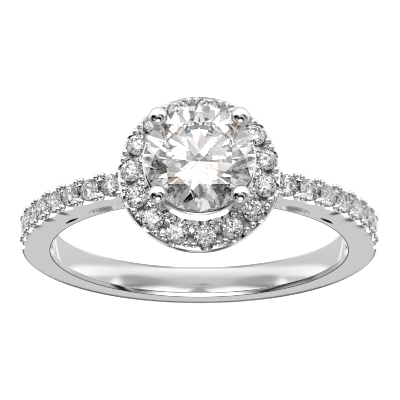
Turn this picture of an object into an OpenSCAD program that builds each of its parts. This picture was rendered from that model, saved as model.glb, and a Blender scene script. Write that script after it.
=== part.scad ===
// Halo engagement ring: a round brilliant in four ball prongs inside a ring of small
// brilliants, on a slim band with a row of stones along each shoulder. The ring lies on
// its side, and the origin is the centre of the finger hole.

/* [Finger hole] */
// Diameter of the finger hole
finger_d = 17.3; // [16.1:0.1:19.0]
// Bevel round both edges of the finger hole
hole_bevel = 0.2; // [0.12:0.02:0.26]

/* [Band] */
// Width of the band at the back
band_w = 1.9; // [1.84:0.02:2.2]
// Width of the band under the head
shoulder_w = 1.66; // [1.6:0.02:1.8]
// Thickness of the band at the back
back_t = 1.65; // [1.4:0.05:2.0]
// Thickness of the band where it would pass under the head
head_t = 2.27; // [2.15:0.02:2.5]
// Rounding of the outer edges of the band
edge_r = 0.2; // [0.1:0.02:0.3]

/* [Centre stone] */
// Girdle diameter of the centre stone
centre_d = 6.45; // [6.0:0.05:6.8]
// Height of its girdle above the top of the finger hole
centre_rise = 5.49; // [5.3:0.05:6.2]
// Turn of the stone's facets about its own axis, in degrees
centre_turn = 22.5; // [0:2.5:45]
// Width of its table as a share of the girdle
centre_table_share = 0.63; // [0.54:0.01:0.66]

/* [Small stones] */
// Girdle diameter of each small stone
melee_d = 1.3; // [1.2:0.05:1.35]
// Space between two girdles along a shoulder
shoulder_gap = 0.22; // [0.18:0.02:0.4]
// From the edge of the halo to the middle of the first shoulder stone
shoulder_start = 0.44; // [0.36:0.02:0.8]
// Depth of the bed cut along each shoulder for its stones
bed_depth = 0.12; // [0.06:0.02:0.16]
// Depth of the small stones' girdles under the metal that they are set in
melee_sink = 0.04; // [0:0.01:0.08]
// Clearance between every stone and the metal that holds it
seat_gap = 0.03; // [0.02:0.005:0.05]

/* [Halo] */
// From the edge of the centre stone to the circle of the halo's stones, flat distance
halo_reach = 0.7; // [0.66:0.02:0.9]
// Drop from the centre stone's girdle to the halo's girdles
halo_drop = 2.39; // [2.3:0.05:2.8]
// Outward lean of the halo's stones, in degrees
halo_lean = 12; // [0:1:15]
// Turn of the halo's row of stones, in degrees
halo_turn = 5; // [0:1:24]
// Metal outside the circle of the halo's stones
halo_rim = 0.775; // [0.75:0.01:0.9]
// Metal inside the circle of the halo's stones
halo_lip = 0.9; // [0.85:0.01:0.95]
// Height of the halo's wall under its stones' girdles
halo_wall = 0.88; // [0.8:0.02:1.0]

/* [Beads] */
// Diameter of the beads along the shoulders
bead_d = 0.38; // [0.34:0.02:0.42]
// Diameter of the beads round the halo
halo_bead_d = 0.42; // [0.36:0.02:0.46]
// From middle to middle of the two beads of a pair
bead_pair = 0.44; // [0.4:0.02:0.5]
// Width of the groove between the two rows of beads
bead_groove = 0.4; // [0.3:0.02:0.46]
// Radius of the scallop cut across the metal at each small stone
scallop_r = 0.62; // [0.56:0.02:0.66]
// Depth of each scallop under the metal that the stone is set in
scallop_depth = 0.18; // [0.12:0.02:0.24]

/* [Prongs and rail] */
// Diameter of the prong wire
prong_d = 0.84; // [0.7:0.02:0.9]
// Diameter of the ball at a prong's tip
prong_ball_d = 1.1; // [1.0:0.02:1.2]
// Diameter of the leg that runs from the halo down to the band
leg_d = 0.6; // [0.5:0.02:0.7]
// Diameter of the rail under the centre stone
rail_d = 0.4; // [0.3:0.02:0.5]
// Drop from the centre stone's girdle to the rail
rail_drop = 0.54; // [0.5:0.02:0.7]

/* [Windows in the shoulders] */
// Metal left between the finger hole and the pointed window
window_floor = 0.34; // [0.3:0.02:0.5]
// Length of the pointed window
window_l = 2.2; // [1.6:0.1:2.4]
// Height of the pointed window
window_h = 0.86; // [0.6:0.02:0.9]
// Length of the slit behind the window
slit_l = 1.38; // [1.0:0.02:1.6]
// Height of the slit
slit_h = 0.26; // [0.2:0.02:0.3]
// Metal left between the finger hole and the open space under the head
bridge_t = 0.5; // [0.45:0.05:0.7]

/* [Hidden] */
halo_stones = 15;
shoulder_stones = 7;
prongs = 4;
sides = ["left", "right"];
fine = 96;

function two_digits(i) = i < 10 ? str("0", i) : str(i);
function halo_name(i) = str("halo_stone_", two_digits(i + 1));
function shoulder_name(side, i) = str("shoulder_stone_", side, "_", i + 1);

// Proportions of a round brilliant cut
melee_table_share = 0.57;
crown_angle = 34.5;
pavilion_angle = 40.8;
girdle_share = 0.03;
star_share = 0.5;
lower_share = 0.77;
facet_turn = 360 / 16;

// The band's outline is a circle round a centre that is raised towards the head
hole_r = finger_d / 2;
band_rise = (head_t - back_t) / 2;
band_r = hole_r + (head_t + back_t) / 2;
bed_r = band_r - bed_depth;
girdle_r = bed_r - melee_sink;

// The head
centre_r = centre_d / 2;
melee_r = melee_d / 2;
centre_height = hole_r + centre_rise;
halo_height = centre_height - halo_drop;
halo_ring_r = centre_r + halo_reach;
halo_r = halo_ring_r + halo_rim;
halo_hole_r = halo_ring_r - halo_lip;
halo_floor = halo_height - halo_wall;
halo_rim_bevel = 0.14;
halo_rim_drop = 0.3;
groove_depth = 0.28;
drill_d = 0.6;

// Blocks that carry the halo on the ends of the shoulders, and how far they stand inside its edge
foot_tuck = 0.25;
foot_flare = 0.25;
foot_overlap = 0.1;
foot_inset = 0.5;

// Prongs stand at the corners of a square, lean in to the halo's hole and meet the band
prong_inset = 0.17;
prong_reach = 0.12;
prong_rise = 0.51;
prong_foot_drop = 0.2;
knuckle_d = prong_d + 0.02;
prong_foot = [halo_hole_r - prong_inset, halo_height - prong_foot_drop];
prong_tip = [centre_r + prong_reach, centre_height + prong_rise];
leg_root = 0.1;
leg_foot = [shoulder_w / 2, hole_r + bridge_t - leg_root];

// The rail lies against the pavilion under the girdle
girdle_t = girdle_share * centre_d;
rail_gap = seat_gap + 0.01;
rail_r = centre_r - (rail_drop - girdle_t / 2) / tan(pavilion_angle)
    + (rail_d / 2 + rail_gap) / sin(pavilion_angle);

// Places along the finger hole of the window, the slit and the point of the space under the head,
// and how much of the window's and the slit's height lies under their tips
window_tuck = 0.14;
window_to_slit = 0.88;
window_low = 0.42;
slit_low = 0.3;
point_tuck = 0.27;
point_height = 1.3;
point_l = 0.45;
point_gap = 0.1;

// Angles from the head along a shoulder, seen from the middle of the band's outline
shoulder_pitch = 2 * asin((melee_d + shoulder_gap) / 2 / girdle_r);
shoulder_first = asin((halo_r + shoulder_start) / girdle_r);

// The bed's ends, in steps of the stones: it starts under the halo and runs out after the last
bed_ends = [-0.75, shoulder_stones];

// How far the ring leans as it lies: the halo's lower edge and the back of the band touch
lie_run = halo_floor + hole_r + back_t - edge_r;
lie_fall = halo_r - (band_w / 2 - edge_r);
lie_tilt = atan2(lie_fall, lie_run) - asin(edge_r / norm([lie_run, lie_fall]));

// Moves a part from the ring's own frame, with the head along +Y and the finger hole along
// Z, to where it lies
module in_pose() rotate([-lie_tilt, 0, 0]) rotate([0, 0, 180]) children();

// Stands a part on the head: its Z points away from the finger
module on_head(turn) rotate([-90, 0, 0]) rotate([0, 0, turn - 90]) children();

module at_halo_place(i) on_head(halo_turn + i * 360 / halo_stones)
    translate([halo_ring_r, 0, halo_height]) rotate([0, halo_lean, 0]) children();

// Half steps of i stand for the beads between two stones
module at_shoulder_place(side, i, r) mirror([side == "left" ? 1 : 0, 0, 0])
    translate([0, band_rise, 0]) rotate([0, 0, -shoulder_first - i * shoulder_pitch])
    translate([0, r, 0]) rotate([-90, 0, 0]) children();

// Radii and heights of a brilliant of girdle radius 1 with table t, from its upper girdle edge
// or its lower one
function crown_h(t) = (1 - t) * tan(crown_angle);
function star_r(t) = t * cos(facet_turn) + star_share * (1 - t * cos(facet_turn));
function star_h(t) = (1 - star_r(t) * cos(facet_turn)) * tan(crown_angle);
pavilion_h = tan(pavilion_angle);
lower_r = 1 - lower_share;
lower_h = pavilion_h * (1 - lower_r * cos(facet_turn));

function ring_points(n, start, r, z) =
    [for (i = [0:n - 1]) let (a = start + i * 360 / n) [r * cos(a), r * sin(a), z]];

// A round brilliant with its girdle's middle at the origin: table, 8 stars, 8 kites, 16 upper
// halves, girdle, 16 lower halves and 8 mains
module brilliant(d, t) {
    r = d / 2;
    g = girdle_share * r;
    points = concat(
        ring_points(8, 0, t * r, g + crown_h(t) * r),
        ring_points(8, facet_turn, star_r(t) * r, g + star_h(t) * r),
        ring_points(16, 0, r, g),
        ring_points(16, 0, r, -g),
        ring_points(8, facet_turn, lower_r * r, -g - lower_h * r),
        [[0, 0, -g - pavilion_h * r]]);
    table = 0;
    star = 8;
    top = 16;
    bottom = 32;
    low = 48;
    culet = 56;
    eighths = [0:7];
    faces = concat(
        [[for (i = [7:-1:0]) table + i]],
        [for (i = eighths) [table + i, table + (i + 1) % 8, star + i]],
        [for (i = eighths) [table + i, star + i, top + 2 * i, star + (i + 7) % 8]],
        [for (i = eighths) [star + i, top + 2 * i + 1, top + 2 * i]],
        [for (i = eighths) [star + i, top + (2 * i + 2) % 16, top + 2 * i + 1]],
        [for (i = [0:15]) [top + i, top + (i + 1) % 16, bottom + (i + 1) % 16, bottom + i]],
        [for (i = eighths) [low + i, bottom + 2 * i, bottom + 2 * i + 1]],
        [for (i = eighths) [low + i, bottom + 2 * i + 1, bottom + (2 * i + 2) % 16]],
        [for (i = eighths) [culet, low + (i + 7) % 8, bottom + 2 * i, low + i]]);
    polyhedron(points, faces);
}

// The room that a brilliant of diameter d needs, with a drilled hole down to drill_depth
module stone_room(d, t, drill_r = 0, drill_depth = 0) {
    r = d / 2;
    g = girdle_share * r + seat_gap / 2;
    deep = g + pavilion_h * r + seat_gap;
    wall = r + seat_gap;
    drill_z = -g - (wall - drill_r) * (deep - g) / wall;
    rotate_extrude($fn = fine) polygon(concat(
        drill_r > 0 ? [[0, -drill_depth], [drill_r, -drill_depth], [drill_r, drill_z]]
            : [[0, -deep]],
        [[wall, -g], [wall, g],
        [star_r(t) * r + seat_gap, g + star_h(t) * r + seat_gap / 2],
        [t * r + seat_gap, g + crown_h(t) * r + seat_gap],
        [0, g + crown_h(t) * r + seat_gap]]));
}

// A pointed shape between two tips, with its own bulge on either side
module lens(p, q, above, below) {
    half = norm(q - p) / 2;
    middle = (p + q) / 2;
    outward = middle / norm(middle);
    r_above = (half * half + above * above) / (2 * above);
    r_below = (half * half + below * below) / (2 * below);
    intersection() {
        translate(middle - outward * (r_above - above)) circle(r = r_above, $fn = fine);
        translate(middle + outward * (r_below - below)) circle(r = r_below, $fn = fine);
    }
}

function along_hole(length, height) = let (a = length / hole_r * 180 / PI)
    [(hole_r + height) * sin(a), (hole_r + height) * cos(a)];

// The window, the slit and the open space under the head, as seen along the finger
module openings_outline() {
    tip_height = window_floor + window_low * window_h;
    slit_height = window_floor + slit_h;
    shrink = hole_r / (hole_r + tip_height);
    window_start = halo_r - window_tuck;
    window_end = window_start + window_l * shrink;
    slit_start = window_end + window_to_slit;
    slit_end = slit_start + slit_l * shrink;
    point = along_hole(halo_r - point_tuck, point_height);
    bridge_top = hole_r + bridge_t;
    sag = bridge_top - point[1];
    floor_r = (point[0] * point[0] + sag * sag) / (2 * sag);
    for (flip = [0, 1]) mirror([flip, 0]) {
        lens(along_hole(window_start, tip_height), along_hole(window_end, tip_height),
            (1 - window_low) * window_h, window_low * window_h);
        lens(along_hole(slit_start, slit_height), along_hole(slit_end, slit_height),
            (1 - slit_low) * slit_h, slit_low * slit_h);
        difference() {
            polygon([[0, hole_r], [point[0], hole_r], point,
                point + [-point_l, sag * point_l / point[0] * 2 + point_gap],
                [halo_hole_r + foot_inset, halo_floor],
                [halo_hole_r + foot_inset, halo_height], [0, halo_height]]);
            translate([0, bridge_top - floor_r]) circle(r = floor_r, $fn = 2 * fine);
        }
    }
}

module band_section() {
    half = band_w / 2;
    translate([0, -half + edge_r]) square([band_r, band_w - 2 * edge_r]);
    translate([0, -half]) square([band_r - edge_r, band_w]);
    for (s = [-1, 1])
        translate([band_r - edge_r, s * (half - edge_r)]) circle(r = edge_r, $fn = fine);
}

// Both sides of the band run closer together from the finger's middle to the head
module width_limit() {
    far = band_r + band_rise;
    narrowing = (band_w - shoulder_w) / 2 / far;
    reach = 2 * band_r;
    rotate([90, 0, 90]) linear_extrude(height = 3 * band_r, center = true) polygon([
        [-reach, -band_w / 2 - narrowing * reach], [reach, -band_w / 2 + narrowing * reach],
        [reach, band_w / 2 - narrowing * reach], [-reach, band_w / 2 + narrowing * reach]]);
}

module halo_feet() {
    outer = halo_r - foot_tuck;
    low = hole_r + bridge_t;
    top = halo_floor + foot_overlap;
    for (flip = [0, 1]) mirror([flip, 0, 0])
        linear_extrude(height = band_w, center = true) polygon([
            [halo_hole_r, low], [outer - foot_flare, low], [outer, top], [halo_hole_r, top]]);
}

module scallops() {
    rise = scallop_r - scallop_depth;
    for (side = sides) for (i = [0:shoulder_stones]) at_shoulder_place(side, i, bed_r + rise)
        rotate([90, 0, 0]) cylinder(r = scallop_r, h = 2 * band_w, center = true, $fn = fine);
}

// What is cut along each shoulder from the radius low outwards, over the width given
module shoulder_cut(low, width) {
    swing = [for (e = bed_ends) shoulder_first + e * shoulder_pitch];
    far = 2 * band_r;
    for (side = sides) mirror([side == "left" ? 1 : 0, 0, 0]) translate([0, band_rise, 0])
        intersection() {
            difference() {
                cylinder(r = band_r + bead_d, h = width, center = true, $fn = fine);
                cylinder(r = low, h = 2 * width, center = true, $fn = fine);
            }
            linear_extrude(height = 2 * width, center = true) polygon([
                [0, 0], far * [sin(swing[0]), cos(swing[0])],
                far * [sin(swing[1]), cos(swing[1])]]);
        }
}

// Two pairs of beads stand between two stones, one at each edge of the band
module shoulder_beads() {
    across = (shoulder_w - bead_d) / 2;
    for (side = sides) for (i = [0:shoulder_stones]) for (s = [-1, 1]) for (k = [-0.5, 0.5])
        at_shoulder_place(side, i - 0.5, bed_r)
            translate([k * bead_pair, s * across, 0]) sphere(d = bead_d, $fn = fine);
}

module band() {
    difference() {
        intersection() {
            union() {
                translate([0, band_rise, 0]) rotate_extrude($fn = fine) band_section();
                halo_feet();
            }
            width_limit();
        }
        linear_extrude(height = 2 * band_w, center = true) openings_outline();
        scallops();
        shoulder_cut(bed_r, 2 * band_w);
        shoulder_cut(bed_r - groove_depth, bead_groove);
    }
}

// Top of the halo at radius r: it leans with the stones
function halo_top(r) = halo_height - (r - halo_ring_r) * tan(halo_lean);

module halo_section() {
    groove = [halo_ring_r - bead_groove / 2, halo_ring_r + bead_groove / 2];
    polygon([[halo_hole_r, halo_floor], [halo_r, halo_floor],
        [halo_r, halo_height - halo_rim_drop],
        [halo_r - halo_rim_bevel, halo_top(halo_r - halo_rim_bevel)],
        [groove[1], halo_top(groove[1])], [groove[1], halo_top(groove[1]) - groove_depth],
        [groove[0], halo_top(groove[0]) - groove_depth], [groove[0], halo_top(groove[0])],
        [halo_hole_r, halo_top(halo_hole_r)]]);
}

module halo() {
    rise = scallop_r - scallop_depth;
    difference() {
        rotate([-90, 0, 0]) rotate_extrude($fn = fine) halo_section();
        for (i = [0:halo_stones - 1]) at_halo_place(i) translate([0, 0, rise])
            rotate([0, 90, 0]) cylinder(r = scallop_r, h = 3 * melee_d, center = true, $fn = fine);
    }
}

// Two pairs of beads stand between two stones, one at each edge of the halo
module halo_beads() {
    outer_r = halo_r - (halo_bead_d + halo_rim_bevel) / 2;
    inner_r = halo_hole_r + halo_bead_d / 2 + halo_rim_bevel / 2;
    for (i = [0:halo_stones - 1]) on_head(halo_turn + (i + 0.5) * 360 / halo_stones)
        for (r = [inner_r, outer_r]) for (k = [-0.5, 0.5])
            translate([r, k * bead_pair, halo_top(r)]) sphere(d = halo_bead_d, $fn = fine);
}

// A straight wire in the plane of X and Z
module wire(from, to, d) {
    run = to - from;
    translate([from[0], 0, from[1]]) rotate([0, atan2(run[0], run[1]), 0])
        cylinder(d = d, h = norm(run), $fn = fine);
}

module prong() {
    wire(prong_foot, prong_tip, prong_d);
    translate([prong_tip[0], 0, prong_tip[1]]) sphere(d = prong_ball_d, $fn = fine);
    translate([prong_foot[0], 0, prong_foot[1]]) sphere(d = knuckle_d, $fn = fine);
    wire(leg_foot, prong_foot, leg_d);
}

module rail() {
    rotate([-90, 0, 0]) rotate_extrude($fn = fine)
        translate([rail_r, centre_height - rail_drop]) circle(d = rail_d, $fn = fine);
}

module finger_hole() {
    cylinder(r = hole_r, h = 4 * band_w, center = true, $fn = fine);
    for (s = [0, 1]) mirror([0, 0, s]) translate([0, 0, band_w / 2 - hole_bevel])
        cylinder(r1 = hole_r, r2 = hole_r + 3 * hole_bevel, h = 3 * hole_bevel, $fn = fine);
}

module stone_rooms() {
    on_head(centre_turn) translate([0, 0, centre_height])
        stone_room(centre_d, centre_table_share);
    for (i = [0:halo_stones - 1]) at_halo_place(i) translate([0, 0, -melee_sink])
        stone_room(melee_d, melee_table_share, drill_d / 2, halo_wall + drill_d);
    for (side = sides) for (i = [0:shoulder_stones - 1])
        at_shoulder_place(side, i, girdle_r) stone_room(melee_d, melee_table_share);
}

// White gold: band, halo, prongs, rail and beads are one soldered piece
module metal_setting() color("gainsboro") in_pose() difference() {
    union() {
        band();
        shoulder_beads();
        halo();
        halo_beads();
        rail();
        for (k = [0:prongs - 1]) on_head(45 + k * 360 / prongs) prong();
    }
    finger_hole();
    stone_rooms();
}

module centre_stone() color("azure") in_pose() on_head(centre_turn)
    translate([0, 0, centre_height]) brilliant(centre_d, centre_table_share);

module halo_stone(i) color("lightcyan") in_pose() at_halo_place(i)
    translate([0, 0, -melee_sink]) brilliant(melee_d, melee_table_share);

module shoulder_stone(side, i) color("lightblue") in_pose()
    at_shoulder_place(side, i, girdle_r) brilliant(melee_d, melee_table_share);

metal_setting();
centre_stone();
for (i = [0:halo_stones - 1])
    halo_stone(i);
for (side = sides) for (i = [0:shoulder_stones - 1])
    shoulder_stone(side, i);
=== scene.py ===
from math import acos, asin, atan2, cos, pi, radians, sin, sqrt, tan

import bmesh
import bpy
from mathutils import Matrix, Vector


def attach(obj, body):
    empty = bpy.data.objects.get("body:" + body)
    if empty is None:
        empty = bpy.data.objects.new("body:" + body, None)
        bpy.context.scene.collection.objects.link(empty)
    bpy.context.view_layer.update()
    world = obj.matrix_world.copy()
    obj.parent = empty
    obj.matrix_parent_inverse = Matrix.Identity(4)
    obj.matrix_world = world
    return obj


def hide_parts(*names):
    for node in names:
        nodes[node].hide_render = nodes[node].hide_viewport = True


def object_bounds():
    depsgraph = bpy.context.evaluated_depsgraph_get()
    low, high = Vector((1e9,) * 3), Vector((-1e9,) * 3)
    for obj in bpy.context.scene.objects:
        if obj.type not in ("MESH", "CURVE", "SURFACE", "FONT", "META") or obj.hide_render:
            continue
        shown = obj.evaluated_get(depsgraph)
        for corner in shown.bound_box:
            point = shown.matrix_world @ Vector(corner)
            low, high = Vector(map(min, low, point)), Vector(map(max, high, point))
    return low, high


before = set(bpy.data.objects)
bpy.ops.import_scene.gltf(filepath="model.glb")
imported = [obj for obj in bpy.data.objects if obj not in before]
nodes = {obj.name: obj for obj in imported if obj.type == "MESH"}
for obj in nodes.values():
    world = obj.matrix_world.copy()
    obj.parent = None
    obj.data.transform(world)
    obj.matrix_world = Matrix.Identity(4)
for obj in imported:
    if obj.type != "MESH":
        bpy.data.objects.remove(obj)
box_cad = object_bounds()
scene = bpy.context.scene


# Camera: a long lens 400 mm off, 28.9 degrees above the floor. The ring lies with its head turned
# up by LEAN and towards the lens, so the frame is rolled half a turn to bring the head uppermost.
LEAN, ABOVE_RING = radians(10.130470), radians(18.446)
DISTANCE, SENSOR_MM, LENS_PER_SENSOR = 0.4, 36, 16.835
AIM_ASIDE, AIM_UP = -0.000046, 0.002138
head_way = Vector((0, -cos(LEAN), sin(LEAN)))
hole_way = Vector((0, sin(LEAN), cos(LEAN)))
look_from = cos(ABOVE_RING) * head_way + sin(ABOVE_RING) * hole_way
picture_up = sin(ABOVE_RING) * head_way - cos(ABOVE_RING) * hole_way
camera = bpy.data.objects.new("camera", bpy.data.cameras.new("camera"))
scene.collection.objects.link(camera)
aim = Vector((AIM_ASIDE, 0, 0)) + AIM_UP * picture_up
z_axis = (DISTANCE * look_from - aim).normalized()
x_axis = (Vector((-1, 0, 0)) + z_axis * z_axis.x).normalized()
looking = Matrix((x_axis, z_axis.cross(x_axis), z_axis)).transposed().to_4x4()
camera.matrix_world = Matrix.Translation(DISTANCE * look_from) @ looking
camera.data.sensor_width = SENSOR_MM
camera.data.lens = LENS_PER_SENSOR * SENSOR_MM
camera.data.clip_start = 0.01
scene.camera = camera


# Setting, its metal: white gold, rhodium plated and polished, with the faint swell that a buffing
# wheel leaves. Painted shade blackens its corners and hollows where other surfaces are near, seen
# by the lens only, and a fine black line runs along the hole's edges. The beads and the prongs are
# painted grey towards their outline, as painted reflections like those of small mirrors in a tent.
BRIGHT = (0.96, 0.96, 0.965, 1)
PAINTED_CORNER_SHADE = (0.05, 0.05, 0.051, 1)
LINE_BLACK = (0.06, 0.06, 0.06, 1)
SWELL_SCALE, SWELL_DEPTH, SWELL_STRENGTH = 260, 0.00002, 0.25
GRAIN_SCALE, GRAIN_LOW, GRAIN_HIGH, LEAST_ROUGH, MOST_ROUGH = 9000, 0.3, 0.7, 0.05, 0.09
recess = bpy.data.node_groups.new("recess", "ShaderNodeTree")
sockets = recess.interface
for name in ("Reach", "Shut", "Free"):
    sockets.new_socket(name, in_out="INPUT", socket_type="NodeSocketFloat")
sockets.new_socket("Open", in_out="OUTPUT", socket_type="NodeSocketFloat")
add, tie = recess.nodes.new, recess.links.new
g_in, g_out, nearby, span = (add("NodeGroupInput"), add("NodeGroupOutput"),
                             add("ShaderNodeAmbientOcclusion"), add("ShaderNodeMapRange"))
nearby.samples = 8
tie(g_in.outputs["Reach"], nearby.inputs["Distance"])
tie(g_in.outputs["Shut"], span.inputs["From Min"])
tie(g_in.outputs["Free"], span.inputs["From Max"])
tie(nearby.outputs["AO"], span.inputs["Value"])
tie(span.outputs["Result"], g_out.inputs["Open"])


def bench(mat):
    """Short ways to work in a material's node tree: a node, a link, a sum, a slope, a mix."""
    mat.use_nodes = True
    add, tie = mat.node_tree.nodes.new, mat.node_tree.links.new

    def put(socket, value):
        if isinstance(value, bpy.types.NodeSocket):
            tie(value, socket)
        else:
            socket.default_value = value

    def worked(kind, first, second=0):
        node = add("ShaderNodeMath")
        node.operation = kind
        put(node.inputs[0], first)
        put(node.inputs[1], second)
        return node.outputs[0]

    def sloped(value, start, end, tone_in=0, tone_out=1, curve="LINEAR"):
        node = add("ShaderNodeMapRange")
        node.interpolation_type = curve
        for socket, number in zip(("Value", "From Min", "From Max", "To Min", "To Max"),
                                  (value, start, end, tone_in, tone_out)):
            put(node.inputs[socket], number)
        return node.outputs[0]

    def blended(share, low, high):
        node = add("ShaderNodeMix")
        node.data_type = "RGBA"
        for socket, value in ((0, share), (6, low), (7, high)):
            put(node.inputs[socket], value)
        return node.outputs[2]

    return add, put, worked, sloped, blended


def polished(name, reach, shut, free=1, limb=None, line=None):
    """White gold with painted shade in its corners, seen by the lens only. Reach is how far off other
    surfaces count. A spot open to less than the share shut is painted black, and to more than free
    it takes no painted shade. Limb gives the facing values between which the metal is painted grey,
    as a painted reflection, and its brightness at each, and line the radius and half width of the
    black line round the hole."""
    mat = bpy.data.materials.new(name)
    add, put, worked, sloped, blended = bench(mat)
    gold = mat.node_tree.nodes["Principled BSDF"]
    gold.inputs["Metallic"].default_value = 1
    corner, place = add("ShaderNodeGroup"), add("ShaderNodeTexCoord")
    corner.node_tree = recess
    for socket, value in zip(("Reach", "Shut", "Free"), (reach, shut, free)):
        corner.inputs[socket].default_value = value
    # Painted shade: the share of open space darkens corners and hollows
    unshaded = corner.outputs["Open"]
    if limb:
        # Painted reflection: the metal turns grey towards its outline
        facing = add("ShaderNodeLayerWeight").outputs["Facing"]
        unshaded = worked("MULTIPLY", unshaded, sloped(facing, *limb))
    # The painted shade is for the lens only; every other ray sees the metal bright
    bounced = worked("SUBTRACT", 1, add("ShaderNodeLightPath").outputs["Is Camera Ray"])
    tone = blended(worked("MAXIMUM", bounced, unshaded), PAINTED_CORNER_SHADE, BRIGHT)
    if line:
        # A fine black line round the hole at the outer edge of its bevel
        turned, length = add("ShaderNodeVectorMath"), add("ShaderNodeVectorMath")
        turned.operation, length.operation = "CROSS_PRODUCT", "LENGTH"
        put(turned.inputs[0], place.outputs["Object"])
        put(turned.inputs[1], hole_way)
        put(length.inputs[0], turned.outputs[0])
        off = worked("ABSOLUTE", worked("SUBTRACT", length.outputs["Value"], line[0]))
        tone = blended(sloped(off, line[1] / 2, line[1]), LINE_BLACK, tone)
    put(gold.inputs["Base Color"], tone)
    swell, grain, dent = add("ShaderNodeTexNoise"), add("ShaderNodeTexNoise"), add("ShaderNodeBump")
    for noise, scale, detail in ((swell, SWELL_SCALE, 1), (grain, GRAIN_SCALE, 3)):
        put(noise.inputs["Vector"], place.outputs["Object"])
        noise.inputs["Scale"].default_value = scale
        noise.inputs["Detail"].default_value = detail
    dent.inputs["Strength"].default_value = SWELL_STRENGTH
    dent.inputs["Distance"].default_value = SWELL_DEPTH
    put(dent.inputs["Height"], swell.outputs["Fac"])
    put(gold.inputs["Normal"], dent.outputs["Normal"])
    put(gold.inputs["Roughness"],
        sloped(grain.outputs["Fac"], GRAIN_LOW, GRAIN_HIGH, LEAST_ROUGH, MOST_ROUGH))
    return mat


white_gold = polished("white_gold", reach=0.0006, shut=0.15)
band_gold = polished("white_gold_band", reach=0.002, shut=0.05, free=0.5, line=(0.00886, 0.00004))
ball_gold = polished("white_gold_balls", reach=0.0002, shut=0.2, limb=(0.3, 0.9, 1, 0.3))


# Setting, its band: swept round the finger hole, thicker and narrower towards the head, bevelled
# at the hole's edges and rounded outside. The setting is built in millimetres with the hole along
# Z and the head on +Y, and in_pose lays it down in metres.
HOLE_R, HOLE_BEVEL, BAND_W, SHOULDER_W = 8.65, 0.2, 1.9, 1.66
BAND_R, BAND_RISE, EDGE_R = 10.61, 0.31, 0.2
HOLE_FILLET, BEVEL_FILLET, FILLET_STEPS, SWEEP = 0.08, 0.06, 5, 384
narrowing = (BAND_W - SHOULDER_W) / 2 / (BAND_R + BAND_RISE)
in_pose = Matrix.Scale(0.001, 4) @ Matrix.Rotation(-LEAN, 4, "X") @ Matrix.Rotation(pi, 4, "Z")


def rounded(corners, steps=4):
    """A closed outline from (x, y, fillet) corners."""
    out = []
    for k, (x, y, fillet) in enumerate(corners):
        here = Vector((x, y))
        if not fillet:
            out.append(here)
            continue
        back = (Vector(corners[k - 1][:2]) - here).normalized()
        on = (Vector(corners[(k + 1) % len(corners)][:2]) - here).normalized()
        half = acos(max(-1, min(1, back.dot(on)))) / 2
        middle = here + (back + on).normalized() * fillet / sin(half)
        start = here + back * fillet / tan(half) - middle
        swing = start.angle_signed(here + on * fillet / tan(half) - middle)
        for s in range(steps + 1):
            a = -swing * s / steps
            out.append(middle + Vector((start.x * cos(a) - start.y * sin(a),
                                        start.x * sin(a) + start.y * cos(a))))
    return out


def from_rows(rows, ring=True):
    """A closed mesh from rows of points. A row of one point is a pole."""
    bm = bmesh.new()
    made = [[bm.verts.new(p) for p in row] for row in rows]
    for a, b in zip(made, made[1:] + made[:1] if ring else made[1:]):
        n = max(len(a), len(b))
        if n == 1:
            continue
        for k in range(n):
            four = [a[k % len(a)], a[(k + 1) % len(a)], b[(k + 1) % len(b)], b[k % len(b)]]
            bm.faces.new(list(dict.fromkeys(four)))
    if not ring:
        for end in (made[0], made[-1]):
            if len(end) > 1:
                bm.faces.new(end)
    bmesh.ops.recalc_face_normals(bm, faces=bm.faces)
    return bm


def as_object(bm, name):
    """A new object in the scene from a bmesh, which is used up."""
    mesh = bpy.data.meshes.new(name)
    bm.to_mesh(mesh)
    bm.free()
    obj = bpy.data.objects.new(name, mesh)
    scene.collection.objects.link(obj)
    return obj


def joined(parts, name):
    """One object from several meshes, each with its own matrix."""
    bm = bmesh.new()
    for mesh, matrix in parts:
        copy = mesh.copy()
        copy.transform(matrix)
        if matrix.determinant() < 0:
            copy.flip_normals()
        bm.from_mesh(copy)
        bpy.data.meshes.remove(copy)
    return as_object(bm, name)


def combine(obj, other, how):
    """Fuses other into obj or cuts it away, and throws it out."""
    step = obj.modifiers.new("step", "BOOLEAN")
    step.operation, step.object, step.solver = how, other, "MANIFOLD"
    graph = bpy.context.evaluated_depsgraph_get()
    mesh = bpy.data.meshes.new_from_object(obj.evaluated_get(graph))
    obj.modifiers.clear()
    old = obj.data
    obj.data = mesh
    bpy.data.meshes.remove(old)
    other_mesh = other.data
    bpy.data.objects.remove(other)
    bpy.data.meshes.remove(other_mesh)


def finished(obj, sharp=32, metal=white_gold):
    """Puts a setting piece in the frame, shades it and ties it to the CAD setting."""
    obj.data.transform(in_pose)
    obj.data.materials.clear()
    obj.data.materials.append(metal)
    for face in obj.data.polygons:
        face.material_index = 0
    obj.data.shade_smooth()
    obj.data.set_sharp_from_angle(angle=radians(sharp))
    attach(obj, "root")
    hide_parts("metal_setting")


def extruded(outline, depth):
    """A prism across the band from an outline seen along the finger."""
    rows = [[Vector((x, y, s * depth / 2)) for x, y in outline] for s in (-1, 1)]
    return from_rows(rows, ring=False)


def half_width(y):
    """Half the band's width at a height towards the head."""
    return BAND_W / 2 - narrowing * max(0, y)


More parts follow.
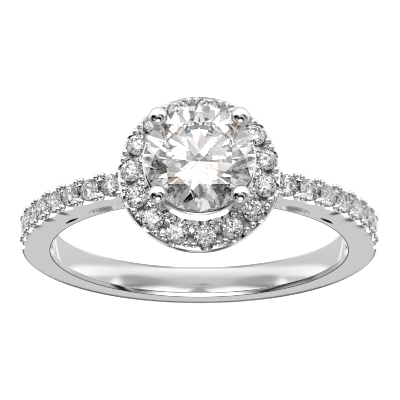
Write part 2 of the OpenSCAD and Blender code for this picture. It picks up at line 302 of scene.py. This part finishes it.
bevel_z = BAND_W / 2 - HOLE_BEVEL
rows = []
for k in range(SWEEP):
    turn = 2 * pi * k / SWEEP
    s, c = sin(turn), cos(turn)
    outer = BAND_RISE * c + sqrt(BAND_R ** 2 - (BAND_RISE * s) ** 2)
    side_in = half_width((HOLE_R + HOLE_BEVEL) * c)
    side_out = half_width(outer * c)
    edge = EDGE_R - (BAND_W / 2 - side_out)
    section = rounded([
        (HOLE_R, -bevel_z, HOLE_FILLET), (HOLE_R, bevel_z, HOLE_FILLET),
        (HOLE_R + side_in - bevel_z, side_in, BEVEL_FILLET), (outer, side_out, edge),
        (outer, -side_out, edge), (HOLE_R + side_in - bevel_z, -side_in, BEVEL_FILLET)],
        FILLET_STEPS)
    rows.append([Vector((p.x * s, p.x * c, p.y)) for p in section])
band = as_object(from_rows(rows), "band")

# Blocks that carry the halo on the ends of the shoulders
HALO_HEIGHT, HALO_RING_R, HALO_R, HALO_HOLE_R, HALO_FLOOR = 11.75, 3.925, 4.70, 3.025, 10.87
BRIDGE_T, BLOCK_IN, BLOCK_SINK, BLOCK_SHY = 0.5, 0.25, 0.1, 0.004
for flip in (-1, 1):
    outer, low, top = HALO_R - BLOCK_IN, HOLE_R + BRIDGE_T, HALO_FLOOR + BLOCK_SINK
    rows = [[Vector((flip * x, y, z * (half_width(y) - BLOCK_SHY))) for x, y in
             ((HALO_HOLE_R, low), (outer - BLOCK_IN, low), (outer, top), (HALO_HOLE_R, top))]
            for z in (-1, 1)]
    combine(band, as_object(from_rows(rows, ring=False), "block"), "UNION")

# The pointed window, the slit and the open space under the head, as seen along the finger
WINDOW_FLOOR, WINDOW_L, WINDOW_H, WINDOW_LOW, WINDOW_IN = 0.34, 2.2, 0.86, 0.42, 0.14
SLIT_L, SLIT_H, SLIT_LOW, SLIT_GAP, SLIT_STEPS = 1.38, 0.26, 0.3, 0.88, 12
ARCH_IN, ARCH_TIP_UP, TIP_BACK, TIP_LIFT, SPACE_OUT, ARCH_STEPS = 0.27, 1.3, 0.45, 0.1, 0.5, 40
THROUGH = 4


def along_hole(length, height):
    """A point seen along the finger: a length round the hole from the head, a height above it."""
    return Vector(((HOLE_R + height) * sin(length / HOLE_R),
                   (HOLE_R + height) * cos(length / HOLE_R)))


def lens(p, q, above, below, steps=24):
    """A pointed shape between two tips, with its own bulge on either side."""
    half, middle, way = (q - p).length / 2, (p + q) / 2, (q - p).normalized()
    out = middle.normalized()
    points = []
    for bulge, side, order in ((above, 1, 1), (below, -1, -1)):
        r = (half * half + bulge * bulge) / (2 * bulge)
        reach = asin(half / r)
        for s in range(steps):
            a = order * reach * (2 * s / steps - 1)
            points.append(middle + way * r * sin(a) + out * side * (r * cos(a) - r + bulge))
    return points


tip = WINDOW_FLOOR + WINDOW_LOW * WINDOW_H
shrink = HOLE_R / (HOLE_R + tip)
window_start = HALO_R - WINDOW_IN
window_end = window_start + WINDOW_L * shrink
slit_start = window_end + SLIT_GAP
slit_end = slit_start + SLIT_L * shrink
slit_tip = WINDOW_FLOOR + SLIT_H
openings = [
    lens(along_hole(window_start, tip), along_hole(window_end, tip),
         (1 - WINDOW_LOW) * WINDOW_H, WINDOW_LOW * WINDOW_H),
    lens(along_hole(slit_start, slit_tip), along_hole(slit_end, slit_tip),
         (1 - SLIT_LOW) * SLIT_H, SLIT_LOW * SLIT_H, SLIT_STEPS)]
arch_tip = along_hole(HALO_R - ARCH_IN, ARCH_TIP_UP)
sag = HOLE_R + BRIDGE_T - arch_tip.y
arch_r = (arch_tip.x ** 2 + sag ** 2) / (2 * sag)
arch = []
for step in range(-ARCH_STEPS, ARCH_STEPS + 1):
    a = asin(arch_tip.x / arch_r) * step / ARCH_STEPS
    arch.append(Vector((arch_r * sin(a), HOLE_R + BRIDGE_T - arch_r * (1 - cos(a)))))
side = [arch_tip + Vector((-TIP_BACK, sag * TIP_BACK / arch_tip.x * 2 + TIP_LIFT)),
        Vector((HALO_HOLE_R + SPACE_OUT, HALO_FLOOR)), Vector((HALO_HOLE_R + SPACE_OUT, HALO_HEIGHT))]
head_space = arch + side + [Vector((-p.x, p.y)) for p in reversed(side)]
cutters = [extruded(head_space, THROUGH)]
for outline in openings:
    for flip in (-1, 1):
        cutters.append(extruded([Vector((flip * p.x, p.y)) for p in outline], THROUGH))
for cutter in cutters:
    combine(band, as_object(cutter, "cutter"), "DIFFERENCE")

# The shoulders: a bed with a groove between its two rows of beads, a scallop across the metal at
# every stone and a conical seat under it
BED_R, GIRDLE_R, MELEE_D, MELEE_TABLE, GAP = 10.49, 10.45, 1.3, 0.57, 0.22
SCALLOP_R, SCALLOP_DEPTH, GROOVE_W, GROOVE_DEPTH, SEAT_GAP = 0.62, 0.18, 0.74, 0.34, 0.03
SHOULDER_STONES, ROW_START, BED_LEAD, BED_STEPS, PAST_R = 7, 0.44, 0.75, 96, 12
PAVILION, CROWN, GIRDLE_SHARE, ROUND = radians(40.8), radians(34.5), 0.03, 48
pitch = 2 * asin((MELEE_D + GAP) / 2 / GIRDLE_R)
first_turn = asin((HALO_R + ROW_START) / GIRDLE_R)


def shoulder_place(flip, step, r):
    """Stands a part on a shoulder, its Z away from the finger. Half steps are between stones."""
    return (Matrix.Diagonal((flip, 1, 1, 1)) @ Matrix.Translation((0, BAND_RISE, 0))
            @ Matrix.Rotation(-first_turn - step * pitch, 4, "Z") @ Matrix.Translation((0, r, 0))
            @ Matrix.Rotation(-pi / 2, 4, "X"))


def turned_about_z(outline, steps):
    """A closed solid from an outline of (radius, height)."""
    rows = []
    for r, z in outline:
        n = steps if r > 1e-6 else 1
        rows.append([Vector((r * cos(2 * pi * k / n), r * sin(2 * pi * k / n), z))
                     for k in range(n)])
    return from_rows(rows, ring=outline[0][0] > 1e-6)


def stone_room(d, table, drill_r=0, drill_depth=0, clear=0):
    """The space that a brilliant needs in the metal, with a drilled hole under it. With clear, the
    metal stands back that far all round the crown."""
    r = d / 2
    g = GIRDLE_SHARE * r + SEAT_GAP / 2
    deep = g + tan(PAVILION) * r + SEAT_GAP
    wall = r + SEAT_GAP
    star = table * cos(pi / 8) + 0.5 * (1 - table * cos(pi / 8))
    slope = tan(CROWN)
    drill_z = -g - (wall - drill_r) * (deep - g) / wall
    low = ([(0, -drill_depth), (drill_r, -drill_depth), (drill_r, drill_z)] if drill_r
           else [(0, -deep)])
    if clear:
        return turned_about_z(low + [(wall, -g), (r + clear, -g + 0.02), (r + clear, r), (0, r)], ROUND)
    star_z = g + (1 - star * cos(pi / 8)) * slope * r + SEAT_GAP / 2
    table_z = g + (1 - table) * slope * r + SEAT_GAP
    return turned_about_z(low + [(wall, -g), (wall, g), (star * r + SEAT_GAP, star_z),
                                 (table * r + SEAT_GAP, table_z), (0, table_z)], ROUND)


def mesh_of(bm):
    """A bare mesh from a bmesh, to be placed many times."""
    mesh = bpy.data.meshes.new("part")
    bm.to_mesh(mesh)
    bm.free()
    return mesh


def scallop_rod(length, sides=64):
    """A rod that cuts a scallop across the metal."""
    turns = [2 * pi * k / sides for k in range(sides)]
    return mesh_of(extruded([Vector((SCALLOP_R * cos(a), SCALLOP_R * sin(a))) for a in turns], length))


across = scallop_rod(THROUGH)
upright = Matrix.Rotation(pi / 2, 4, "X")
rise = SCALLOP_R - SCALLOP_DEPTH
combine(band, joined([(across, shoulder_place(f, i, BED_R + rise) @ upright)
                      for f in (-1, 1) for i in range(SHOULDER_STONES + 1)], "scallops"), "DIFFERENCE")
for flip in (-1, 1):
    rows = []
    low = BED_R - GROOVE_DEPTH
    for s in range(BED_STEPS + 1):
        a = flip * (first_turn + (-BED_LEAD + (SHOULDER_STONES + BED_LEAD) * s / BED_STEPS) * pitch)
        rows.append([Vector((r * sin(a), BAND_RISE + r * cos(a), z)) for r, z in
                     ((low, 0), (BED_R, GROOVE_W / 2), (BED_R, BAND_W), (PAST_R, BAND_W),
                      (PAST_R, -BAND_W), (BED_R, -BAND_W), (BED_R, -GROOVE_W / 2))])
    combine(band, as_object(from_rows(rows, ring=False), "bed"), "DIFFERENCE")
small_room = mesh_of(stone_room(MELEE_D, MELEE_TABLE))
combine(band, joined([(small_room, shoulder_place(f, i, GIRDLE_R))
                      for f in (-1, 1) for i in range(SHOULDER_STONES)], "seats"), "DIFFERENCE")
finished(band, metal=band_gold)


# Setting, its halo: a turned ring that leans outwards, scalloped at every stone and drilled under
# it, with the same groove between its rows of beads. It is soldered to the blocks on the band.
HALO_LEAN, HALO_TURN, HALO_STONES = radians(12), radians(5), 15
RIM_BEVEL, RIM_SIDE, HALO_STEPS, RADIAL_L = 0.14, 0.3, 240, 1.9
DRILL_R, DRILL_DEPTH, CROWN_CLEAR, SEAT_DROP = 0.3, 1.48, 0.06, 0.04


def on_head(turn):
    """Stands a part on the head, its Z away from the finger."""
    return Matrix.Rotation(-pi / 2, 4, "X") @ Matrix.Rotation(turn - pi / 2, 4, "Z")


def halo_place(i):
    """Stands a part on the halo's lean at one of its stones."""
    return (on_head(HALO_TURN + i * 2 * pi / HALO_STONES)
            @ Matrix.Translation((HALO_RING_R, 0, HALO_HEIGHT)) @ Matrix.Rotation(HALO_LEAN, 4, "Y"))


def halo_top(r):
    """The height of the halo's leaning top at a radius."""
    return HALO_HEIGHT - (r - HALO_RING_R) * tan(HALO_LEAN)


groove_in, groove_out = HALO_RING_R - GROOVE_W / 2, HALO_RING_R + GROOVE_W / 2
outline = rounded([
    (HALO_HOLE_R, HALO_FLOOR, 0.04), (HALO_R, HALO_FLOOR, 0.06), (HALO_R, HALO_HEIGHT - RIM_SIDE, 0.1),
    (HALO_R - RIM_BEVEL, halo_top(HALO_R - RIM_BEVEL), 0.03),
    (groove_out, halo_top(groove_out), 0), (HALO_RING_R, HALO_HEIGHT - GROOVE_DEPTH, 0),
    (groove_in, halo_top(groove_in), 0),
    (HALO_HOLE_R, halo_top(HALO_HOLE_R), 0.03)])
halo = as_object(turned_about_z(outline, HALO_STEPS), "halo")
halo.data.transform(Matrix.Rotation(-pi / 2, 4, "X"))
radial = scallop_rod(RADIAL_L)
lying = Matrix.Translation((0, 0, rise)) @ Matrix.Rotation(pi / 2, 4, "Y")
for i in range(HALO_STONES):
    combine(halo, joined([(radial, halo_place(i) @ lying)], "scallop"), "DIFFERENCE")
drilled_room = mesh_of(stone_room(MELEE_D, MELEE_TABLE, DRILL_R, DRILL_DEPTH, CROWN_CLEAR))
combine(halo, joined([(drilled_room, halo_place(i) @ Matrix.Translation((0, 0, -SEAT_DROP)))
                      for i in range(HALO_STONES)], "seats"), "DIFFERENCE")
finished(halo)


# Setting, its beads: grains of the same metal, raised in pairs between the stones and burnished
# over their girdles, one pair at each edge. Points carry them, and a geometry tree sets a ball on
# each.
BEAD_D, HALO_BEAD_D, BEAD_PAIR, BEAD_SEGMENTS, BEAD_RINGS = 0.38, 0.42, 0.44, 20, 12
bead_tree = bpy.data.node_groups.new("beads", "GeometryNodeTree")
sockets = bead_tree.interface
sockets.new_socket("Points", in_out="INPUT", socket_type="NodeSocketGeometry")
size_socket = sockets.new_socket("Diameter", in_out="INPUT", socket_type="NodeSocketFloat")
metal_socket = sockets.new_socket("Metal", in_out="INPUT", socket_type="NodeSocketMaterial")
sockets.new_socket("Beads", in_out="OUTPUT", socket_type="NodeSocketGeometry")
add, tie = bead_tree.nodes.new, bead_tree.links.new
g_in, g_out = add("NodeGroupInput"), add("NodeGroupOutput")
ball, radius = add("GeometryNodeMeshUVSphere"), add("ShaderNodeMath")
ball.inputs["Segments"].default_value = BEAD_SEGMENTS
ball.inputs["Rings"].default_value = BEAD_RINGS
radius.operation = "MULTIPLY"
radius.inputs[1].default_value = 0.5
spread, real = add("GeometryNodeInstanceOnPoints"), add("GeometryNodeRealizeInstances")
smooth, paint = add("GeometryNodeSetShadeSmooth"), add("GeometryNodeSetMaterial")
tie(g_in.outputs["Diameter"], radius.inputs[0])
tie(radius.outputs[0], ball.inputs["Radius"])
tie(g_in.outputs["Points"], spread.inputs["Points"])
tie(ball.outputs["Mesh"], spread.inputs["Instance"])
tie(spread.outputs["Instances"], real.inputs["Geometry"])
tie(real.outputs["Geometry"], smooth.inputs["Geometry"])
tie(smooth.outputs["Geometry"], paint.inputs["Geometry"])
tie(g_in.outputs["Metal"], paint.inputs["Material"])
tie(paint.outputs["Geometry"], g_out.inputs["Beads"])


def beads(places, diameter, name):
    """One piece with a ball at every place."""
    bm = bmesh.new()
    for p in places:
        bm.verts.new(p)
    obj = as_object(bm, name)
    step = obj.modifiers.new("beads", "NODES")
    step.node_group = bead_tree
    step[size_socket.identifier] = diameter
    step[metal_socket.identifier] = ball_gold
    graph = bpy.context.evaluated_depsgraph_get()
    mesh = bpy.data.meshes.new_from_object(obj.evaluated_get(graph))
    obj.modifiers.clear()
    obj.data = mesh
    finished(obj, sharp=60, metal=ball_gold)


places = []
bead_in = HALO_HOLE_R + HALO_BEAD_D / 2 + RIM_BEVEL / 2
bead_out = HALO_R - (HALO_BEAD_D + RIM_BEVEL) / 2
for i in range(HALO_STONES):
    turn = on_head(HALO_TURN + (i + 0.5) * 2 * pi / HALO_STONES)
    places += [turn @ Vector((r, k * BEAD_PAIR, halo_top(r)))
               for r in (bead_in, bead_out) for k in (-0.5, 0.5)]
beads(places, HALO_BEAD_D, "halo_beads")
bead_row = (SHOULDER_W - BEAD_D) / 2
beads([shoulder_place(f, i - 0.5, BED_R) @ Vector((k * BEAD_PAIR, s * bead_row, 0))
       for f in (-1, 1) for i in range(SHOULDER_STONES + 1) for s in (-1, 1) for k in (-0.5, 0.5)],
      BEAD_D, "shoulder_beads")


# Setting, its prongs: four wires with a ball melted at the tip and a knuckle where the leg goes
# down to the band. Each is notched for the centre stone's edge and soldered inside the halo.
CENTRE_D, CENTRE_HEIGHT, CENTRE_TABLE = 6.45, 14.14, 0.63
PRONG_D, PRONG_BALL_D, KNUCKLE_D, LEG_D = 0.84, 1.1, 0.86, 0.6
BALL_OUT, BALL_UP, KNUCKLE_IN, KNUCKLE_DOWN, LEG_SINK = 0.12, 0.51, 0.17, 0.2, 0.1
prong_foot = Vector((HALO_HOLE_R - KNUCKLE_IN, 0, HALO_HEIGHT - KNUCKLE_DOWN))
prong_tip = Vector((CENTRE_D / 2 + BALL_OUT, 0, CENTRE_HEIGHT + BALL_UP))
leg_foot = Vector((SHOULDER_W / 2, 0, HOLE_R + BRIDGE_T - LEG_SINK))


def wire(start, end, d):
    """A straight round wire between two points of the XZ plane."""
    run = end - start
    outline = [(0, 0), (d / 2, 0), (d / 2, run.length), (0, run.length)]
    obj = as_object(turned_about_z(outline, ROUND), "wire")
    obj.data.transform(Matrix.Translation(start) @ Matrix.Rotation(atan2(run.x, run.z), 4, "Y"))
    return obj


def round_ball(centre, d):
    """A ball about a point, with its poles along Z."""
    half = ROUND // 2
    outline = [(d / 2 * sin(pi * k / half), -d / 2 * cos(pi * k / half)) for k in range(half + 1)]
    outline[0], outline[-1] = (0, -d / 2), (0, d / 2)
    obj = as_object(turned_about_z(outline, ROUND), "ball")
    obj.data.transform(Matrix.Translation(centre))
    return obj


prong = wire(prong_foot, prong_tip, PRONG_D)
combine(prong, round_ball(prong_tip, PRONG_BALL_D), "UNION")
combine(prong, round_ball(prong_foot, KNUCKLE_D), "UNION")
combine(prong, wire(leg_foot, prong_foot, LEG_D), "UNION")
centre_room = joined([(mesh_of(stone_room(CENTRE_D, CENTRE_TABLE)),
                       Matrix.Translation((0, 0, CENTRE_HEIGHT)))], "seat")
combine(prong, centre_room, "DIFFERENCE")
prongs = joined([(prong.data, on_head(radians(45 + 90 * k))) for k in range(4)], "prongs")
bpy.data.objects.remove(prong)
finished(prongs, metal=ball_gold)


# Setting, its rail: a round wire of the same metal, bent to a ring under the centre stone's girdle
# and soldered to the prongs. It keeps RAIL_GAP clear of the stone's slope.
RAIL_D, RAIL_DROP, RAIL_GAP, RAIL_SIDES, RAIL_STEPS = 0.4, 0.54, SEAT_GAP + 0.01, 24, 160
rail_r = (CENTRE_D / 2 - (RAIL_DROP - GIRDLE_SHARE * CENTRE_D / 2) / tan(PAVILION)
          + (RAIL_D / 2 + RAIL_GAP) / sin(PAVILION))
turns = [2 * pi * k / RAIL_SIDES for k in range(RAIL_SIDES)]
outline = [(rail_r + RAIL_D / 2 * cos(a), CENTRE_HEIGHT - RAIL_DROP + RAIL_D / 2 * sin(a))
           for a in turns]
rail = as_object(turned_about_z(outline, RAIL_STEPS), "rail")
rail.data.transform(Matrix.Rotation(-pi / 2, 4, "X"))
finished(rail)


# Stones: round brilliants of diamond, clear and colourless, cut with flat facets and held by the
# prongs and beads. Their fire is painted into their colour as a few pale flashes of spectral
# colour, and the small ones also carry fine warm and dark specks painted in for their facets'
# reflections, seen by the lens only. They keep the frame's own meshes and take a better material.
CLEAR = (1, 1, 1)
fire = bpy.data.node_groups.new("fire", "ShaderNodeTree")
sockets = fire.interface
for name in ("Scale", "Flash", "Speck Scale", "Speck"):
    sockets.new_socket(name, in_out="INPUT", socket_type="NodeSocketFloat")
sockets.new_socket("Colour", in_out="OUTPUT", socket_type="NodeSocketColor")
add, tie = fire.nodes.new, fire.links.new
g_in, g_out, where = add("NodeGroupInput"), add("NodeGroupOutput"), add("ShaderNodeTexCoord")


def bands(source, stops):
    """Plain colours, each from its stop up to the next."""
    ramp = add("ShaderNodeValToRGB")
    ramp.color_ramp.interpolation = "CONSTANT"
    while len(ramp.color_ramp.elements) < len(stops):
        ramp.color_ramp.elements.new(0.5)
    for element, (at, colour) in zip(ramp.color_ramp.elements, stops):
        element.position, element.color = at, (*colour, 1)
    tie(source, ramp.inputs["Fac"])
    return ramp.outputs["Color"]


def cells(scale):
    """A number from 0 to 1 for each small cell of space."""
    cell, one = add("ShaderNodeTexVoronoi"), add("ShaderNodeSeparateColor")
    tie(where.outputs["Object"], cell.inputs["Vector"])
    tie(scale, cell.inputs["Scale"])
    tie(cell.outputs["Color"], one.inputs["Color"])
    return one.outputs["Red"]


def faded(colour, amount, under=None):
    """Lays a share of a colour over what is under it, as a filter."""
    mix = add("ShaderNodeMix")
    mix.data_type, mix.blend_type = "RGBA", "MULTIPLY"
    mix.inputs[6].default_value = (*CLEAR, 1)
    tie(amount, mix.inputs[0])
    tie(colour, mix.inputs[7])
    if under:
        tie(under, mix.inputs[6])
    return mix.outputs[2]


# Where each colour starts: the painted flashes' salmon, sky blue, violet, grey and straw among
# clear, then the painted specks' tan, brown and black
flashes = bands(cells(g_in.outputs["Scale"]), (
    (0, CLEAR), (0.6, (1, 0.72, 0.6)), (0.64, CLEAR), (0.74, (0.6, 0.8, 1)),
    (0.78, CLEAR), (0.86, (0.75, 0.7, 0.95)), (0.89, (0.85, 0.85, 0.85)), (0.97, (1, 0.9, 0.75))))
specks = bands(cells(g_in.outputs["Speck Scale"]), (
    (0, CLEAR), (0.42, (0.7, 0.58, 0.45)), (0.47, CLEAR), (0.67, (0.12, 0.1, 0.08)),
    (0.73, CLEAR), (0.925, (0.004, 0.003, 0.002))))
tie(faded(specks, g_in.outputs["Speck"], faded(flashes, g_in.outputs["Flash"])), g_out.inputs["Colour"])


def diamond(name, scale, flash, speck_scale=0, speck=0):
    """Diamond with painted flashes of fire and painted specks for its facets' reflections: how many
    cells of each to a metre, and how strong.
    """
    mat = bpy.data.materials.new(name)
    add, put, worked = bench(mat)[:3]
    stone = mat.node_tree.nodes["Principled BSDF"]
    stone.inputs["Transmission Weight"].default_value = 1
    stone.inputs["Roughness"].default_value = 0
    stone.inputs["IOR"].default_value = 2.42
    painted_fire_tint = add("ShaderNodeGroup")
    painted_fire_tint.node_tree = fire
    painted_fire_tint.inputs["Scale"].default_value = scale
    painted_fire_tint.inputs["Flash"].default_value = flash
    painted_fire_tint.inputs["Speck Scale"].default_value = speck_scale
    # Painted specks for the facets' dark reflections, seen by the lens only
    if speck:
        at_front = add("ShaderNodeLightPath").outputs["Is Camera Ray"]
        put(painted_fire_tint.inputs["Speck"], worked("MULTIPLY", at_front, speck))
    put(stone.inputs["Base Color"], painted_fire_tint.outputs["Colour"])
    return mat


kinds = {
    "centre_stone": diamond("diamond_clear", scale=1000, flash=0.9),
    "halo_stone": diamond("diamond_halo", scale=2500, flash=0.05, speck_scale=8000, speck=1),
    "shoulder_stone": diamond("diamond_shoulder", scale=1500, flash=0.15, speck_scale=5000, speck=1)}
for name, obj in nodes.items():
    for kind, material in kinds.items():
        if name.startswith(kind):
            obj.data.materials[0] = material


# Floor: a sheet of white board under the ring. To the lens it burns out to white, as on a light
# table. The metal and the stones see it pale, with painted shade inside the finger hole in a fan, a
# lane and a spot of greys, which gives the polished inner wall its shades as painted reflections.
BOARD, SEEN_BOARD, GLOW, FLOOR_HALF = 0.85, (0.22, 0.22, 0.22, 1), 0.96, 1.5
PAINTED_SHADE_R, FAN_Y = 0.0087, 0.00485
LANE_IN, LANE_OUT, LANE_START, LANE_END, LANE_GREY = 0.0008, 0.0026, 0.0036, 0.0046, 0.56
SPOT_X, SPOT_Y, SPOT_IN, SPOT_OUT, SPOT_GREY = 0.0004, -0.0038, 0.0003, 0.0012, 0.4
bm = bmesh.new()
bmesh.ops.create_grid(bm, x_segments=2, y_segments=2, size=FLOOR_HALF)
floor = as_object(bm, "floor")
floor.location.z = box_cad[0].z
board = bpy.data.materials.new("white_board")
add, put, worked, sloped, blended = bench(board)
paper = board.node_tree.nodes["Principled BSDF"]
paper.inputs["Roughness"].default_value = 0.8
paper.inputs["Specular IOR Level"].default_value = 0.1
paper.inputs["Emission Color"].default_value = (1, 1, 1, 1)
place, split, fan = add("ShaderNodeTexCoord"), add("ShaderNodeSeparateXYZ"), add("ShaderNodeValToRGB")
put(split.inputs[0], place.outputs["Object"])
floor_x, floor_y = split.outputs["X"], split.outputs["Y"]


def away(x, y):
    """How far a spot on the board is from a point."""
    return worked("SQRT", worked("ADD", worked("POWER", worked("SUBTRACT", floor_x, x), 2),
                                 worked("POWER", worked("SUBTRACT", floor_y, y), 2)))


# The fan's painted greys by their degrees from the line that runs through the head
aside = worked("ABSOLUTE", floor_x)
turn = worked("ARCTAN2", aside, worked("ABSOLUTE", worked("SUBTRACT", floor_y, FAN_Y)))
stops = ((0, 1), (13, 1), (21, 0.93), (27, 0.76), (38, 0.58), (45, 0.49), (58, 0.49), (67, 0.92),
         (72, 0.9), (77, 0.6), (90, 0.55))
while len(fan.color_ramp.elements) < len(stops):
    fan.color_ramp.elements.new(0.5)
for element, (degrees, grey) in zip(fan.color_ramp.elements, stops):
    element.position, element.color = degrees / 90, (grey, grey, grey, 1)
put(fan.inputs["Fac"], worked("DIVIDE", turn, pi / 2))
# A lane and a spot of painted shade lie over the fan, all of it only inside the finger hole
lane = sloped(aside, LANE_IN, LANE_OUT, 1, LANE_GREY, "SMOOTHSTEP")
in_lane = sloped(floor_y, LANE_START, LANE_END, 0, 1, "SMOOTHSTEP")
painted_hole_shade = worked("ADD", fan.outputs["Color"],
               worked("MULTIPLY", in_lane, worked("SUBTRACT", lane, fan.outputs["Color"])))
spot = sloped(away(SPOT_X, SPOT_Y), SPOT_IN, SPOT_OUT, SPOT_GREY, 1, "SMOOTHSTEP")
painted_hole_shade = worked("MULTIPLY", painted_hole_shade, spot)
in_hole = worked("LESS_THAN", away(0, 0), PAINTED_SHADE_R)
tone = worked("ADD", BOARD, worked("MULTIPLY", in_hole, worked("SUBTRACT", painted_hole_shade, BOARD)))
# The lens sees the plain board, every other ray the painted shade
to_lens = add("ShaderNodeLightPath").outputs["Is Camera Ray"]
put(paper.inputs["Base Color"], blended(to_lens, tone, SEEN_BOARD))
put(paper.inputs["Emission Strength"], worked("MULTIPLY", to_lens, GLOW))
floor.data.materials.append(board)


# Light: a pale grey tent all round, hung with round panels from black to bright, soft at their
# rims. The metal and the stones mirror them. A square lamp on the lens's side lights the floor and
# shows in no mirror.
TENT = 0.78
LAMP_PLACE, LAMP_SIDE, LAMP_WATTS = Vector((0, -0.47, 0.29)), 0.1, 4.2
world = bpy.data.worlds.new("tent")
scene.world = world
world.use_nodes = True
tree = world.node_tree
tree.nodes.clear()
add, tie = tree.nodes.new, tree.links.new
out, light, way = add("ShaderNodeOutputWorld"), add("ShaderNodeBackground"), add("ShaderNodeTexCoord")


def hung(behind, around, above, inner, outer, value):
    """Hangs a panel in front of the tent or of the panels before it: its place in degrees round
    from the lens's side, to its right, and above the floor, the radii in degrees where it is full
    and where it ends, and its brightness."""
    a, e = radians(around), radians(above)
    dot, mask, blend = add("ShaderNodeVectorMath"), add("ShaderNodeMapRange"), add("ShaderNodeMix")
    dot.operation = "DOT_PRODUCT"
    dot.inputs[1].default_value = (sin(a) * cos(e), -cos(a) * cos(e), sin(e))
    mask.interpolation_type = "SMOOTHSTEP"
    mask.inputs["From Min"].default_value = cos(radians(outer))
    mask.inputs["From Max"].default_value = cos(radians(inner))
    blend.inputs[3].default_value = value
    tie(way.outputs["Generated"], dot.inputs[0])
    tie(dot.outputs["Value"], mask.inputs["Value"])
    tie(mask.outputs["Result"], blend.inputs[0])
    if behind:
        tie(behind, blend.inputs[2])
    else:
        blend.inputs[2].default_value = TENT
    return blend.outputs[0]


# Around, above, inner, outer and value of each panel, those further back first. A search program
# that compared renders with the photo found all but the last two, which were set by hand.
panels = (
    (-39, 10, 8, 21, 2.82), (-94, 61, 16, 19, 0.01), (23, 0, 22, 25, 2.65), (178, 40, 9, 16, 1.22),
    (55, 83, 19, 46, 0.12), (-75, 12, 23, 35, 0.08), (170, 48, 3, 11, 1.64),
    (-128, 39, 13, 20, 0.63), (34, 21, 18, 21, 0.48), (79, 40, 35, 43, 0.01), (-48, 0, 13, 43, 0.1),
    (71, 6, 18, 23, 0.01), (117, 7, 6, 33, 0.31), (-37, 58, 32, 35, 1.43), (-28, 66, 23, 44, 0.01),
    (54, 90, 5, 31, 1.86), (74, 49, 10, 18, 0.56), (-91, 0, 18, 32, 0.39), (134, 50, 5, 21, 0.7),
    (180, 8, 13, 16, 0.15), (180, 8, 5, 6, 0.76))
bright = None
for around, above, inner, outer, value in panels:
    bright = hung(bright, around, above, inner, outer, value)
tie(bright, light.inputs["Strength"])
tie(light.outputs[0], out.inputs["Surface"])

lamp = bpy.data.objects.new("softbox", bpy.data.lights.new("softbox", "AREA"))
scene.collection.objects.link(lamp)
lamp.data.shape = "SQUARE"
lamp.data.size = LAMP_SIDE
lamp.data.energy = LAMP_WATTS
lamp.location = LAMP_PLACE
lamp.rotation_euler = (-LAMP_PLACE).to_track_quat("-Z", "Y").to_euler()
lamp.visible_glossy = lamp.visible_transmission = False

# Plain tones, and enough bounces for the light to find its way out of the stones
scene.view_settings.view_transform = "Standard"
scene.cycles.use_denoising = True
scene.cycles.filter_width = 1.0
scene.cycles.max_bounces = 32
scene.cycles.transmission_bounces = 24
scene.cycles.glossy_bounces = 12
